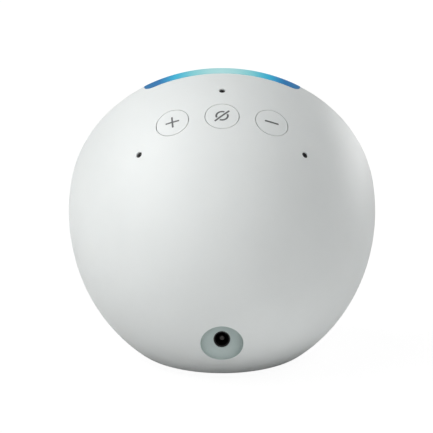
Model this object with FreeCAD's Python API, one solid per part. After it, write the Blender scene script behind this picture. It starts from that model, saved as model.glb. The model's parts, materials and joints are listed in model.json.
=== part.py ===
"""A half-dome smart speaker, built as the assembly that comes apart on a bench.

The housing is one deep plastic dome whose open mouth is closed by a round fabric grille. The grille
faces -Y and leans back. The dome's underside is cut flat and stands on a rubber foot. Three buttons and
three microphone holes sit on the dome's top rear, the power socket is low on the rear, and a light bar is
let into the top of the rim. Inside are a full-range driver in its own sealed cup, a main board, a board for
buttons and microphones, and a row of LEDs behind the light bar.

Row frame: +Z up, -Y front, origin under the middle of the bounding box, on the table. Millimetres, degrees.
Front frame: origin at the mouth's centre, x as in the row frame, y up along the mouth's plane, z out of it.
Depth is the distance behind the mouth's plane, so z = -depth there.
Top frame: origin on the dome at the middle button, z out along the surface there, x as in the row frame.
Socket frame: origin at the middle of the socket pocket's floor, z towards the rear, x as in the row frame.
"""

import FreeCAD, Part
import math
import os

from FreeCAD import Placement, Rotation, Vector

# The dome
HEIGHT = 91.0  # table to the top of the light bar
MAX_RADIUS = 49.5  # half the width
RIM_RADIUS = 48.4  # where the rim meets the mouth's plane
RIM_DEPTH = 3.0  # depth at which the dome is widest
DOME_DEPTH = 64.5  # from the widest place to the rear pole
TILT = 21.0  # lean of the mouth's plane
WALL = 2.0
MOUTH_RADIUS = 46.2
LIP_DEPTH = 5.2  # the mouth's lip, behind which the grille's hooks catch
BASE_Z = 1.25  # underside of the housing
FLOOR_Z = 2.45  # inner floor of the housing
BASE_ROUND = 0.4  # of the base's edge under the mouth
REAR_BASE_ROUND = 3.0  # of the base's edge in the middle of the rear

# Foot
FOOT_HALF_X = 19.0
FOOT_HALF_Y = 24.0
FOOT_CENTRE_Y = -11.5
FOOT_THICKNESS = 1.5
TAPE = 0.2
FIT_GAP = 0.15  # gap between parts that are laid or snapped into each other

# Grille
CLOTH = 0.8
CLOTH_ROUND = 1.6  # of the cloth's edge
GRILLE_RADIUS = 46.0
GRILLE_FRONT = 0.5
GRILLE_SKIRT = 5.0
FRAME_THICKNESS = 1.6
FRAME_ROUND = 0.8
FRAME_SKIRT = 1.4  # thickness of the frame's skirt and of its hooks
HOLE_PITCH = 6.0
HOLE_RADIUS = 1.9
HOLE_RINGS = 6
HOOK_ANGLES = (0, 57, 123, 180, 240, 300)  # from +x, clear of the light bar and of the baffle's screws
HOOK_HALF_ANGLE = 4.4
HOOK_CATCH = 0.7  # how far a hook reaches behind the mouth's lip
HOOK_START = 5.6  # depths of a hook's catching face and of its tip
HOOK_TIP = 7.4

# Light bar
BAR_HALF_ANGLE = 29.3
BAR_DEPTH = 4.8
BAR_END_RADIUS = 3.2
BAR_PROUD = 0.15
BAR_LEG = 8.2  # depth of the end that takes in the light
LED_ANGLES = (-20, -12, -4, 4, 12, 20)
LED_RADIUS = 45.7
LED_SIZE = 2.0
LED_HEIGHT = 0.7
LED_BOARD = (9.0, 10.0)  # depths of its two faces
LED_BOARD_RADII = (41.2, 46.9)
LED_BOARD_HALF_ANGLE = 26.0
REFLECTOR = (43.8, 44.6)  # inner and outer radius
LEDGE_ANGLES = (-23, 23)  # of the two ledges that carry the LED board

# Buttons and microphones, each placed by its angle round the dome's axis and its depth
BUTTONS = {"volume_up": (18.6, 25.6), "mic_mute": (0.0, 25.8), "volume_down": (-18.6, 25.6)}
MICROPHONES = ((0.0, 14.6), (33.9, 32.2), (-33.9, 32.2))
BUTTON_RADIUS = 5.0
BUTTON_GAP = 0.2
FLANGE_RADIUS = 6.2
FLANGE_GAP = 0.12
FLANGE_THICKNESS = 0.8
STEM_RADIUS = 1.5
MIC_SIZE = 3.0
MIC_HEIGHT = 1.0
MIC_HOLE_RADIUS = 1.0
MIC_SEAL_RADIUS = 1.4
MIC_BORE_RADIUS = 0.6  # in a microphone's seal, and in its nose
MIC_NOSE_BORE_RADIUS = 0.4
MIC_NOSE_DEPTH = 0.4  # of a seal's nose below the dome's surface

# Button board, heights in the top frame
BOARD_TOP = -13.0
BOARD_THICKNESS = 1.0
SWITCH_SIZE = 6.0
SWITCH_HEIGHT = 3.5
PLUNGER_TOP = -9.0
PLUNGER_RADIUS = 1.0
GUIDE_TOP = -7.6
GUIDE_BOTTOM = -8.6
GUIDE_FEET = ((-16.2, -5.2), (16.2, -5.2), (-16.2, 5.2), (16.2, 5.2))
TOP_CABLE_Z = BOARD_TOP - 1.7
TOP_BOSSES = ((-10.5, -8.0), (10.5, -8.0), (-8.5, 8.3), (8.5, 8.3))

# Driver, depths behind the mouth's plane
BAFFLE = (6.0, 8.2)
BAFFLE_RADIUS = 40.6
BAFFLE_BOSS_RADIUS = 41.6
BAFFLE_BOSS_ANGLES = (45, 135, 225, 315)
DRIVER_FLANGE = 1.4
DRIVER_RADIUS = 27.4
DRIVER_BOLT_RADIUS = 25.2
SURROUND_INNER = 17.5
SURROUND_OUTER = 22.0
SURROUND_FACE = BAFFLE[0] - 0.6  # depth of the plane that the surround's edges lie on
CONE_NECK_DEPTH = 13.4
COIL_RADIUS = 6.9
TOP_PLATE = (17.2, 20.2)
MAGNET_BACK = 26.2
YOKE_BACK = 29.2
LUG_DEPTH = 16.2
LUG_X = 3.0
CUP_RADIUS = 27.5
CUP_BACK = 33.5
CUP_WALL = 1.8
CUP_ROUND = 3.0
CUP_FLANGE = 32.5
CUP_BOLT_RADIUS = 29.9
CUP_SEAL = 0.6
WIRE_RADIUS = 0.45
WIRE_PITCH = 1.6
GROMMET_Y = -19.0  # where the speaker's wires leave the cup, in the front frame

# Main board, upright, heights above the table
MAIN_BOARD_Y = (15.2, 16.4)
MAIN_OUTLINE = ((-20, 8), (20, 8), (29, 20), (29, 36), (24, 42), (-24, 42), (-29, 36), (-29, 20))
WIRE_SOCKET = (10.0, 22.0)
MAIN_BOSSES = ((-22, 34), (22, 34), (-15, 12), (15, 12))
CAPACITORS = ((-13, 16.5), (-20, 22), (20, 22))

# Power socket
SOCKET_Z = 14.4
POCKET_FLOOR_Y = 29.7
POCKET_RADIUS = 6.2
POCKET_ROUND = 2.0
SOCKET_HOLE_RADIUS = 2.5
SOCKET_BORE_RADIUS = 2.1
SOCKET_PIN_RADIUS = 0.82
SOCKET_PIN_DEPTH = 1.2  # of the pin's tip below the pocket's floor

# Flat cables
CABLE_THICKNESS = 0.2
CABLE_BEND = 1.2
CABLE_LIFT = 0.6  # of a cable above the main board
CONNECTOR_HEIGHT = 1.3

# Screws
SCREW_RADIUS = 0.9
SCREW_HEAD_RADIUS = 1.9
SCREW_HEAD_HEIGHT = 1.1
SCREW_HEAD_ROUND = 0.4
SCREW_HOLE_RADIUS = 1.0
PILOT_RADIUS = 0.95
RUNNING_GAP = 0.08  # round a part that slides

# Screw posts
BAFFLE_POST_RADIUS = 3.0
TOP_POST_RADIUS = 2.0
MAIN_POST_RADIUS = 2.4

FAR = 120.0  # larger than anything in the object


# ---------------------------------------------------------------- simple solids


def cylinder(radius, low, high, x=0.0, y=0.0):
    return Part.makeCylinder(radius, high - low, Vector(x, y, low))


def ring(inner, outer, low, high, x=0.0, y=0.0):
    return cylinder(outer, low, high, x, y).cut(cylinder(inner, low - 1, high + 1, x, y))


def box(x_range, y_range, z_range):
    sizes = [high - low for low, high in (x_range, y_range, z_range)]
    return Part.makeBox(*sizes, Vector(x_range[0], y_range[0], z_range[0]))


def plate(outline, low, high):
    """A flat plate with a straight-sided outline in the x-y plane."""
    points = [Vector(x, y, low) for x, y in outline]
    face = Part.Face(Part.makePolygon(points + points[:1]))
    return face.extrude(Vector(0, 0, high - low))


def profile_face(points):
    """A face in the x-z plane from points given as (radius, depth)."""
    corners = [Vector(radius, 0, -depth) for radius, depth in points]
    return Part.Face(Part.makePolygon(corners + corners[:1]))


def turned(points):
    """A solid of revolution about the front frame's axis, from (radius, depth) points."""
    return profile_face(points).revolve(Vector(), Vector(0, 0, 1), 360)


def turned_sector(points, half_angle):
    """As turned, but only half_angle each side of the upward direction."""
    face = profile_face(points)
    face.rotate(Vector(), Vector(0, 0, 1), 90 - half_angle)
    return face.revolve(Vector(), Vector(0, 0, 1), 2 * half_angle)


def fused(shapes):
    first, *others = shapes
    return first.fuse(others).removeSplitter() if others else first


def placed(shape, frame):
    moved = shape.copy()
    moved.Placement = frame * moved.Placement
    return moved


def round_about(shape, angles):
    """Copies of a shape turned about the z axis, each angle counted from where the shape is."""
    copies = []
    for angle in angles:
        turned_copy = shape.copy()
        turned_copy.rotate(Vector(), Vector(0, 0, 1), angle)
        copies.append(turned_copy)
    return copies


def screw(length):
    """A pan-head screw whose head sits above z = 0 and whose shank runs down from it."""
    head = cylinder(SCREW_HEAD_RADIUS, 0, SCREW_HEAD_HEIGHT)
    head = head.makeFillet(SCREW_HEAD_ROUND, level_edges(head, SCREW_HEAD_HEIGHT))
    recess = box((-1.1, 1.1), (-0.25, 0.25), (SCREW_HEAD_HEIGHT - 0.6, SCREW_HEAD_HEIGHT + 1))
    cross = fused(round_about(recess, (0, 90)))
    return head.fuse(cylinder(SCREW_RADIUS, -length, 0.2)).cut(cross)


def rounded_path(points, bend):
    """A wire of straight runs through the points, joined by arcs of one radius."""
    edges = []
    start = points[0]
    for before, corner, after in zip(points, points[1:], points[2:]):
        to_start = (before - corner).normalize()
        to_end = (after - corner).normalize()
        half_turn = to_start.getAngle(to_end) / 2
        reach = bend / math.tan(half_turn)
        bisector = (to_start + to_end).normalize()
        middle = corner + bisector * (bend / math.sin(half_turn) - bend)
        arc_start = corner + to_start * reach
        arc_end = corner + to_end * reach
        edges.append(Part.LineSegment(start, arc_start).toShape())
        edges.append(Part.Arc(arc_start, middle, arc_end).toShape())
        start = arc_end
    edges.append(Part.LineSegment(start, points[-1]).toShape())
    return Part.Wire(edges)


def strip(path, bend, thickness, x_range):
    """A flat cable: a path of (y, z) points with rounded corners, as wide as x_range."""
    points = [Vector(x_range[0], y, z) for y, z in path]
    outline = rounded_path(points, bend).makeOffset2D(thickness / 2)
    return Part.Face(outline).extrude(Vector(x_range[1] - x_range[0], 0, 0))


def round_wire(points, wire_radius, bend):
    section = Part.Wire(Part.Circle(points[0], points[1] - points[0], wire_radius).toShape())
    return rounded_path(points, bend).makePipeShell([section], True, True)


def oval_prism(half_x, half_y, low, high):
    """An upright prism with an elliptical outline. The outline is at least as long in y as in x."""
    centre = Vector(0, 0, low)
    oval = Part.Ellipse(centre + Vector(0, half_y, 0), centre + Vector(half_x, 0, 0), centre)
    return Part.Face(Part.Wire(oval.toShape())).extrude(Vector(0, 0, high - low))


def level_edges(shape, height):
    """The edges that lie in the level plane at that height."""
    found = []
    for edge in shape.Edges:
        room = edge.BoundBox
        if max(abs(room.ZMin - height), abs(room.ZMax - height)) < 0.01:
            found.append(edge)
    return found


# ---------------------------------------------------------------- frames and the dome's surface

COS_TILT = math.cos(math.radians(TILT))
SIN_TILT = math.sin(math.radians(TILT))
RIM_GROWTH = MAX_RADIUS - RIM_RADIUS
RIM_TOP = (
    RIM_RADIUS * COS_TILT
    - RIM_DEPTH * SIN_TILT
    + math.hypot((RIM_GROWTH + BAR_PROUD) * COS_TILT, RIM_DEPTH * SIN_TILT)
)
MOUTH_Z = HEIGHT - RIM_TOP
REAR_REACH = RIM_DEPTH * COS_TILT + math.hypot(MAX_RADIUS * SIN_TILT, DOME_DEPTH * COS_TILT)
FRONT_ROUNDING = BASE_ROUND * ((1 + SIN_TILT) / COS_TILT - 1)
FRONT_REACH = (MOUTH_Z - BASE_Z) / COS_TILT * SIN_TILT - FRONT_ROUNDING
MOUTH_Y = (FRONT_REACH - REAR_REACH) / 2
FRONT = Placement(Vector(0, MOUTH_Y, MOUTH_Z), Rotation(Vector(1, 0, 0), 90 - TILT))
SOCKET = Placement(Vector(0, POCKET_FLOOR_Y, SOCKET_Z), Rotation(Vector(1, 0, 0), -90))


def surface_point(angle, depth):
    """A point on the dome's outside, and the outward normal there, in the front frame."""
    share = (depth - RIM_DEPTH) / DOME_DEPTH
    radius = MAX_RADIUS * math.sqrt(1 - share * share)
    across = radius * math.sin(math.radians(angle))
    up = radius * math.cos(math.radians(angle))
    normal = Vector(across / MAX_RADIUS**2, up / MAX_RADIUS**2, -(depth - RIM_DEPTH) / DOME_DEPTH**2)
    return Vector(across, up, -depth), normal.normalize()


def top_frame():
    point, normal = surface_point(*BUTTONS["mic_mute"])
    outward = FRONT.Rotation.multVec(normal)
    lean = math.degrees(math.atan2(outward.y, outward.z))
    return Placement(FRONT.multVec(point), Rotation(Vector(1, 0, 0), -lean))


TOP = top_frame()


def in_top_frame(front_point):
    return TOP.inverse().multVec(FRONT.multVec(front_point))


def button_place(name):
    point, _ = surface_point(*BUTTONS[name])
    return in_top_frame(point)


def microphone_place(angle, depth):
    """Where a microphone hole leaves the wall's inner side, in the top frame."""
    point, normal = surface_point(angle, depth)
    return in_top_frame(point - normal * WALL)


def above(height):
    return box((-FAR, FAR), (-FAR, FAR), (height, FAR))


def dome(grow):
    """The dome's whole outer form, closed across the mouth, with its curved surface moved out by grow."""
    centre = Vector(0, 0, -RIM_DEPTH)
    pole = Vector(0, 0, -RIM_DEPTH - DOME_DEPTH - grow)
    widest = Vector(MAX_RADIUS + grow, 0, -RIM_DEPTH)
    rim = Vector(RIM_RADIUS, 0, 0)
    rim_centre = Vector(RIM_RADIUS, 0, -RIM_DEPTH)
    quarter = math.pi / 2
    edges = [
        Part.ArcOfEllipse(Part.Ellipse(pole, widest, centre), 0, quarter).toShape(),
        Part.ArcOfEllipse(Part.Ellipse(rim, widest, rim_centre), 0, quarter).toShape(),
        Part.LineSegment(rim, Vector()).toShape(),
        Part.LineSegment(Vector(), pole).toShape(),
    ]
    profile = Part.Face(Part.Wire(Part.__sortEdges__(edges)))
    return placed(profile.revolve(Vector(), Vector(0, 0, 1), 360), FRONT)


def inner_dome(grow=0.0):
    """The dome's inside behind the lip, moved out by grow, and open down to the axis."""
    radius = MAX_RADIUS - WALL + grow
    length = DOME_DEPTH - WALL + grow
    share = (LIP_DEPTH - RIM_DEPTH) / length
    pole = Vector(0, 0, -RIM_DEPTH - length)
    whole = Part.Ellipse(pole, Vector(radius, 0, -RIM_DEPTH), Vector(0, 0, -RIM_DEPTH))
    wall = Part.ArcOfEllipse(whole, 0, math.acos(share))
    lip = Vector(0, 0, -LIP_DEPTH)
    edges = [
        wall.toShape(),
        Part.LineSegment(wall.EndPoint, lip).toShape(),
        Part.LineSegment(lip, pole).toShape(),
    ]
    profile = Part.Face(Part.Wire(Part.__sortEdges__(edges)))
    return placed(profile.revolve(Vector(), Vector(0, 0, 1), 360), FRONT)


# ---------------------------------------------------------------- housing


def base_block():
    """The space above the base, with the edge under the mouth rounded."""
    front = MOUTH_Y - (MOUTH_Z - BASE_Z) * SIN_TILT / COS_TILT
    proud = 0.005  # the arc just crosses the mouth's plane instead of only touching it
    centre = Vector(-FAR, front + BASE_ROUND * (1 + SIN_TILT) / COS_TILT - proud, BASE_Z + BASE_ROUND)
    under = centre - Vector(0, 0, BASE_ROUND)
    half_way = centre - Vector(0, BASE_ROUND, 0)
    lean = Vector(0, -COS_TILT, SIN_TILT)
    top = centre + lean * BASE_ROUND
    outside = ((-FAR, top.z), (-FAR, FAR), (FAR, FAR), (FAR, BASE_Z))
    corners = [top] + [Vector(-FAR, y, z) for y, z in outside]
    edges = [Part.Arc(under, half_way, top).toShape()]
    edges += [Part.LineSegment(start, end).toShape() for start, end in zip(corners, corners[1:] + [under])]
    return Part.Face(Part.Wire(edges)).extrude(Vector(2 * FAR, 0, 0))


def outer_form():
    """The dome cut flat for its base. The base's edge is rounded, more and more towards the rear."""
    half = dome(0.0).common(box((0, FAR), (-FAR, FAR), (BASE_Z, FAR)))
    rooms = [(edge, edge.BoundBox) for edge in level_edges(half, BASE_Z)]
    curved = [edge for edge, room in rooms if room.XLength > 1 and room.YLength > MAX_RADIUS]
    half = half.makeFillet(BASE_ROUND, REAR_BASE_ROUND, curved)
    whole = half.fuse(half.mirror(Vector(), Vector(1, 0, 0))).removeSplitter()
    return whole.common(base_block())


def light_bar_section(gap):
    """The part of the rim that is light bar, in the front frame, with round ends, grown by gap."""
    end_angle = BAR_HALF_ANGLE - math.degrees(BAR_END_RADIUS / MAX_RADIUS)
    inner, back = MOUTH_RADIUS - gap, BAR_DEPTH + gap
    body = turned_sector(((inner, -1), (FAR, -1), (FAR, back), (inner, back)), end_angle)
    end = placed(
        cylinder(BAR_END_RADIUS + gap, inner, FAR),
        Placement(Vector(0, 0, BAR_END_RADIUS - BAR_DEPTH), Rotation(Vector(1, 0, 0), -90)),
    )
    return body.fuse(round_about(end, (-end_angle, end_angle)))


def light_bar_leg(gap):
    """The bar's inner leg, which reaches back to the LEDs."""
    outer = MAX_RADIUS - WALL - 0.3 + gap
    inner = MOUTH_RADIUS - 0.8 - gap
    points = (
        (MOUTH_RADIUS - gap, BAR_DEPTH - 0.5),
        (outer, BAR_DEPTH - 0.5),
        (outer, BAR_LEG),
        (inner, BAR_LEG),
        (inner, LIP_DEPTH + 0.4),
        (MOUTH_RADIUS - gap, LIP_DEPTH + 0.4),
    )
    return turned_sector(points, BAR_HALF_ANGLE - 4 + math.degrees(gap / MOUTH_RADIUS))


def light_bar():
    bar = placed(light_bar_section(0.0), FRONT).common(dome(BAR_PROUD))
    return bar.fuse(placed(light_bar_leg(0.0), FRONT)).removeSplitter()


def foot_outline(grow, low, high):
    """An oval block: the foot's outline grown all round."""
    block = oval_prism(FOOT_HALF_X + grow, FOOT_HALF_Y + grow, low, high)
    block.translate(Vector(0, FOOT_CENTRE_Y, 0))
    return block


def button_outline(name, grow, low, high):
    """An upright prism in the top frame round a button, a circle on the dome there, grown all round."""
    place = button_place(name)
    _, normal = surface_point(*BUTTONS[name])
    lean = TOP.Rotation.inverted().multVec(FRONT.Rotation.multVec(normal))
    foreshortened = BUTTON_RADIUS * min(lean.z, 1.0)
    block = oval_prism(foreshortened + grow, BUTTON_RADIUS + grow, low, high)
    block.rotate(Vector(), Vector(0, 0, 1), math.degrees(math.atan2(lean.y, lean.x)))
    block.translate(Vector(place.x, place.y, 0))
    return block


def baffle_boss_places():
    turns = [math.radians(angle) for angle in BAFFLE_BOSS_ANGLES]
    return [(BAFFLE_BOSS_RADIUS * math.cos(turn), BAFFLE_BOSS_RADIUS * math.sin(turn)) for turn in turns]


def housing_bosses():
    """Screw posts that grow out of the wall, each as (post, hole) in the row frame."""
    posts = []
    for x, y in baffle_boss_places():
        post = cylinder(BAFFLE_POST_RADIUS, -FAR, -BAFFLE[1], x, y)
        posts.append((post, cylinder(PILOT_RADIUS, -18, 0, x, y), FRONT))
    for x, y in TOP_BOSSES:
        post = cylinder(TOP_POST_RADIUS, BOARD_TOP, 10, x, y)
        posts.append((post, cylinder(PILOT_RADIUS, BOARD_TOP - 3, BOARD_TOP + 7, x, y), TOP))
    upright = Placement(Vector(), Rotation(Vector(1, 0, 0), -90))
    for x, z in MAIN_BOSSES:
        post = cylinder(MAIN_POST_RADIUS, MAIN_BOARD_Y[1], FAR, x, -z)
        posts.append((post, cylinder(PILOT_RADIUS, 0, MAIN_BOARD_Y[1] + 6, x, -z), upright))
    return [(placed(post, frame), placed(hole, frame)) for post, hole, frame in posts]


def socket_pocket():
    """The hollow that takes the plug's body, with a rounded floor corner."""
    corner = POCKET_RADIUS - POCKET_ROUND
    turn = POCKET_ROUND * (1 - math.sqrt(0.5))
    mouth = POCKET_RADIUS + 0.5
    points = [Vector(0, 0, 0), Vector(corner, 0, 0), Vector(POCKET_RADIUS, 0, POCKET_ROUND)]
    middle = Vector(POCKET_RADIUS - turn, 0, turn)
    edges = [
        Part.LineSegment(points[0], points[1]).toShape(),
        Part.Arc(points[1], middle, points[2]).toShape(),
        Part.LineSegment(points[2], Vector(mouth, 0, 14)).toShape(),
        Part.LineSegment(Vector(mouth, 0, 14), Vector(0, 0, 14)).toShape(),
        Part.LineSegment(Vector(0, 0, 14), points[0]).toShape(),
    ]
    return Part.Face(Part.Wire(edges)).revolve(Vector(), Vector(0, 0, 1), 360)


def rear_shell():
    outer = outer_form()
    mouth = placed(cylinder(MOUTH_RADIUS, -LIP_DEPTH, 1), FRONT)
    hollow = inner_dome().fuse(mouth).common(above(FLOOR_Z))
    shell = outer.cut(hollow)

    bosses = housing_bosses()
    keep = inner_dome(0.5).common(above(FLOOR_Z - 0.5))
    ledge = box((-1.5, 1.5), (LED_BOARD_RADII[0] + 1.8, MAX_RADIUS), (-LED_BOARD[1] - 2.5, -LED_BOARD[1]))
    ledges = [placed(one, FRONT) for one in round_about(ledge, LEDGE_ANGLES)]
    posts = [post.common(keep) for post in [post for post, _ in bosses] + ledges]
    socket_wall = placed(cylinder(POCKET_RADIUS + WALL, -1.8, 20), SOCKET).common(outer)
    shell = shell.fuse(posts + [socket_wall])

    cuts = [hole for _, hole in bosses]
    cuts.append(placed(socket_pocket(), SOCKET))
    cuts.append(placed(cylinder(SOCKET_HOLE_RADIUS, -4, 1), SOCKET))
    cuts.append(foot_outline(FIT_GAP, BASE_Z - 1, FOOT_THICKNESS + TAPE))
    cuts.append(placed(light_bar_section(0.08).fuse(light_bar_leg(0.08)), FRONT))
    for name in BUTTONS:
        place = button_place(name)
        cuts.append(placed(button_outline(name, BUTTON_GAP, place.z - 8, place.z + 5), TOP))
    for angle, depth in MICROPHONES:
        point, normal = surface_point(angle, depth)
        cuts.append(placed(Part.makeCylinder(MIC_HOLE_RADIUS, 6, point - normal * 4, normal), FRONT))
    return shell.cut(cuts).removeSplitter()


def foot():
    return foot_outline(0.0, 0.0, FOOT_THICKNESS)


def foot_tape():
    return foot_outline(-1.0, FOOT_THICKNESS, FOOT_THICKNESS + TAPE)


# ---------------------------------------------------------------- grille


def grille_cloth():
    back = GRILLE_FRONT + CLOTH
    block = cylinder(GRILLE_RADIUS, -GRILLE_SKIRT, -GRILLE_FRONT)
    block = block.makeFillet(CLOTH_ROUND, level_edges(block, -GRILLE_FRONT))
    inside = cylinder(GRILLE_RADIUS - CLOTH, -GRILLE_SKIRT - 1, -back)
    inside = inside.makeFillet(CLOTH_ROUND - CLOTH, level_edges(inside, -back))
    return placed(block.cut(inside), FRONT).common(above(FLOOR_Z + FIT_GAP))


def grille_frame():
    front = GRILLE_FRONT + CLOTH
    outer = GRILLE_RADIUS - CLOTH - 0.05
    disc = cylinder(outer, -front - FRAME_THICKNESS, -front)
    disc = disc.makeFillet(FRAME_ROUND, level_edges(disc, -front))
    skirt = ring(outer - FRAME_SKIRT, outer, -GRILLE_SKIRT, -front - FRAME_THICKNESS)
    hook_profile = (
        (outer - FRAME_SKIRT, GRILLE_SKIRT),
        (outer, GRILLE_SKIRT),
        (outer, HOOK_START),
        (MOUTH_RADIUS + HOOK_CATCH, HOOK_START),
        (outer - 0.2, HOOK_TIP),
        (outer - FRAME_SKIRT, HOOK_TIP),
    )
    hook = turned_sector(hook_profile, HOOK_HALF_ANGLE)
    hooks = round_about(hook, [angle - 90 for angle in HOOK_ANGLES])
    holes = [cylinder(HOLE_RADIUS, -front - 3, 0)]
    for step in range(1, HOLE_RINGS + 1):
        hole = cylinder(HOLE_RADIUS, -front - 3, 0, step * HOLE_PITCH)
        count = 6 * step
        holes += round_about(hole, [360 / count * index for index in range(count)])
    frame = disc.fuse([skirt] + hooks).cut(holes).removeSplitter()
    return placed(frame, FRONT).common(above(FLOOR_Z + FIT_GAP))


# ---------------------------------------------------------------- light


def led_board():
    (inner, outer), (front, back) = LED_BOARD_RADII, LED_BOARD
    points = ((inner, front), (outer, front), (outer, back), (inner, back))
    return placed(turned_sector(points, LED_BOARD_HALF_ANGLE), FRONT)


def leds():
    half = LED_SIZE / 2
    face = -LED_BOARD[0]
    one = box((-half, half), (LED_RADIUS - half, LED_RADIUS + half), (face, face + LED_HEIGHT))
    return placed(Part.makeCompound(round_about(one, LED_ANGLES)), FRONT)


def light_reflector():
    """A white wall that keeps the LEDs' light from the driver, clamped behind the grille frame."""
    inner, outer = REFLECTOR
    points = ((inner, GRILLE_SKIRT), (outer, GRILLE_SKIRT), (outer, LED_BOARD[0]), (inner, LED_BOARD[0]))
    return placed(turned_sector(points, BAR_HALF_ANGLE - 5), FRONT)


# ---------------------------------------------------------------- speaker


def baffle():
    disc = cylinder(BAFFLE_RADIUS, -BAFFLE[1], -BAFFLE[0])
    ears = [cylinder(3.6, -BAFFLE[1], -BAFFLE[0], x, y) for x, y in baffle_boss_places()]
    holes = [cylinder(23.4, -FAR, 0)]
    holes += [cylinder(SCREW_HOLE_RADIUS, -FAR, 0, x, y) for x, y in baffle_boss_places()]
    holes += round_about(cylinder(PILOT_RADIUS, -FAR, 0, DRIVER_BOLT_RADIUS), (45, 135, 225, 315))
    holes += round_about(cylinder(SCREW_HOLE_RADIUS, -FAR, 0, CUP_BOLT_RADIUS), (0, 90, 180, 270))
    return placed(disc.fuse(ears).cut(holes).removeSplitter(), FRONT)


def baffle_screws():
    one = screw(6.5)
    places = [Placement(Vector(x, y, -BAFFLE[0]), Rotation()) for x, y in baffle_boss_places()]
    return placed(Part.makeCompound([placed(one, place) for place in places]), FRONT)


def speaker_cup():
    """The sealed back volume: a deep cup with a flange that screws to the baffle."""
    front = BAFFLE[1] + CUP_SEAL
    outside = cylinder(CUP_RADIUS, -CUP_BACK, -front)
    outside = outside.makeFillet(CUP_ROUND, level_edges(outside, -CUP_BACK))
    inside = cylinder(CUP_RADIUS - CUP_WALL, -CUP_BACK + CUP_WALL, 0)
    inside = inside.makeFillet(CUP_ROUND - 1, level_edges(inside, -CUP_BACK + CUP_WALL))
    flange = cylinder(CUP_FLANGE, -front - 2, -front)
    holes = round_about(cylinder(PILOT_RADIUS, -FAR, 0, CUP_BOLT_RADIUS), (0, 90, 180, 270))
    holes.append(cylinder(1.9, -FAR, -CUP_BACK + 5, 0, GROMMET_Y))
    return placed(outside.fuse(flange).cut([inside] + holes).removeSplitter(), FRONT)


def cup_seal():
    seal = ring(CUP_RADIUS - 1.2, CUP_RADIUS + 1.3, -BAFFLE[1] - CUP_SEAL, -BAFFLE[1])
    return placed(seal, FRONT)


def cup_screws():
    one = placed(screw(4.2), Placement(Vector(CUP_BOLT_RADIUS, 0, -BAFFLE[0]), Rotation()))
    return placed(Part.makeCompound(round_about(one, (0, 90, 180, 270))), FRONT)


def driver_basket():
    """Flange, four legs and a rear ring that carries the magnet."""
    front = BAFFLE[0] - DRIVER_FLANGE
    body = turned(
        (
            (SURROUND_OUTER + 0.3, front),
            (DRIVER_RADIUS, front),
            (DRIVER_RADIUS, BAFFLE[0]),
            (23.1, BAFFLE[0]),
            (23.1, 8.5),
            (15.6, 15.2),
            (15.6, TOP_PLATE[0]),
            (9.0, TOP_PLATE[0]),
            (9.0, 16.0),
            (14.0, 16.0),
            (14.0, 14.8),
            (21.9, 7.8),
            (21.9, BAFFLE[0] - 0.6),
            (SURROUND_OUTER + 0.3, BAFFLE[0] - 0.6),
        )
    )
    window = box((-4.5, 4.5), (8, 40), (-15.0, -8.0))
    holes = round_about(window, [60 * index for index in range(6)])
    hole = cylinder(SCREW_HOLE_RADIUS, -BAFFLE[0] - 0.1, 0, DRIVER_BOLT_RADIUS)
    holes += round_about(hole, (45, 135, 225, 315))
    return placed(body.cut(holes).removeSplitter(), FRONT)


def driver_screws():
    face = Placement(Vector(DRIVER_BOLT_RADIUS, 0, DRIVER_FLANGE - BAFFLE[0]), Rotation())
    one = placed(screw(3.4), face)
    return placed(Part.makeCompound(round_about(one, (45, 135, 225, 315))), FRONT)


def top_plate():
    return placed(ring(7.5, 15.0, -TOP_PLATE[1], -TOP_PLATE[0]), FRONT)


def magnet():
    return placed(ring(9.0, 15.0, -MAGNET_BACK, -TOP_PLATE[1]), FRONT)


def yoke():
    """The pole piece that stands in the coil, and the disc behind the magnet."""
    pole, disc, front = 6.1, 14.4, TOP_PLATE[0]
    points = ((0, front), (pole, front), (pole, MAGNET_BACK), (disc, MAGNET_BACK))
    points += ((disc, YOKE_BACK - 1), (disc - 1, YOKE_BACK), (0, YOKE_BACK))
    return placed(turned(points), FRONT)


def cone():
    """The paper cone with its neck glued round the coil former."""
    front = SURROUND_FACE
    points = (
        (COIL_RADIUS - 0.2, CONE_NECK_DEPTH),
        (COIL_RADIUS - 0.2, CONE_NECK_DEPTH - 1.6),
        (12.0, 8.4),
        (SURROUND_INNER - 1.3, front),
        (SURROUND_INNER + 0.3, front),
        (SURROUND_INNER + 0.3, front + 0.4),
        (SURROUND_INNER - 1.1, front + 0.4),
        (12.2, 9.0),
        (COIL_RADIUS + 0.3, CONE_NECK_DEPTH - 1.2),
        (COIL_RADIUS + 0.3, CONE_NECK_DEPTH),
    )
    return placed(turned(points), FRONT)


def dust_cap():
    """A shallow dome over the coil."""
    rise = 2.6
    rim_radius = COIL_RADIUS + 0.9
    sphere_radius = (rim_radius**2 + rise**2) / (2 * rise)
    rim_depth = 11.1
    thickness = 0.35
    ball = Part.makeSphere(sphere_radius).cut(Part.makeSphere(sphere_radius - thickness))
    ball.translate(Vector(0, 0, -rim_depth + rise - sphere_radius))
    cap = ball.common(cylinder(rim_radius, -rim_depth, 0))
    return placed(cap, FRONT)


def surround():
    """The rubber half-roll between cone and basket."""
    middle = (SURROUND_INNER + SURROUND_OUTER) / 2
    roll = (SURROUND_OUTER - SURROUND_INNER) / 2 - 0.3
    torus = Part.makeTorus(middle, roll).cut(Part.makeTorus(middle, roll - 0.45))
    torus = torus.common(cylinder(FAR / 2, 0, 5))
    torus.translate(Vector(0, 0, -SURROUND_FACE))
    inner_lip = ring(SURROUND_INNER - 1.2, middle - roll + 0.3, -SURROUND_FACE, -SURROUND_FACE + 0.4)
    outer_lip = ring(middle + roll - 0.3, SURROUND_OUTER + 0.2, -SURROUND_FACE, -SURROUND_FACE + 0.4)
    return placed(torus.fuse([inner_lip, outer_lip]).removeSplitter(), FRONT)


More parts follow.
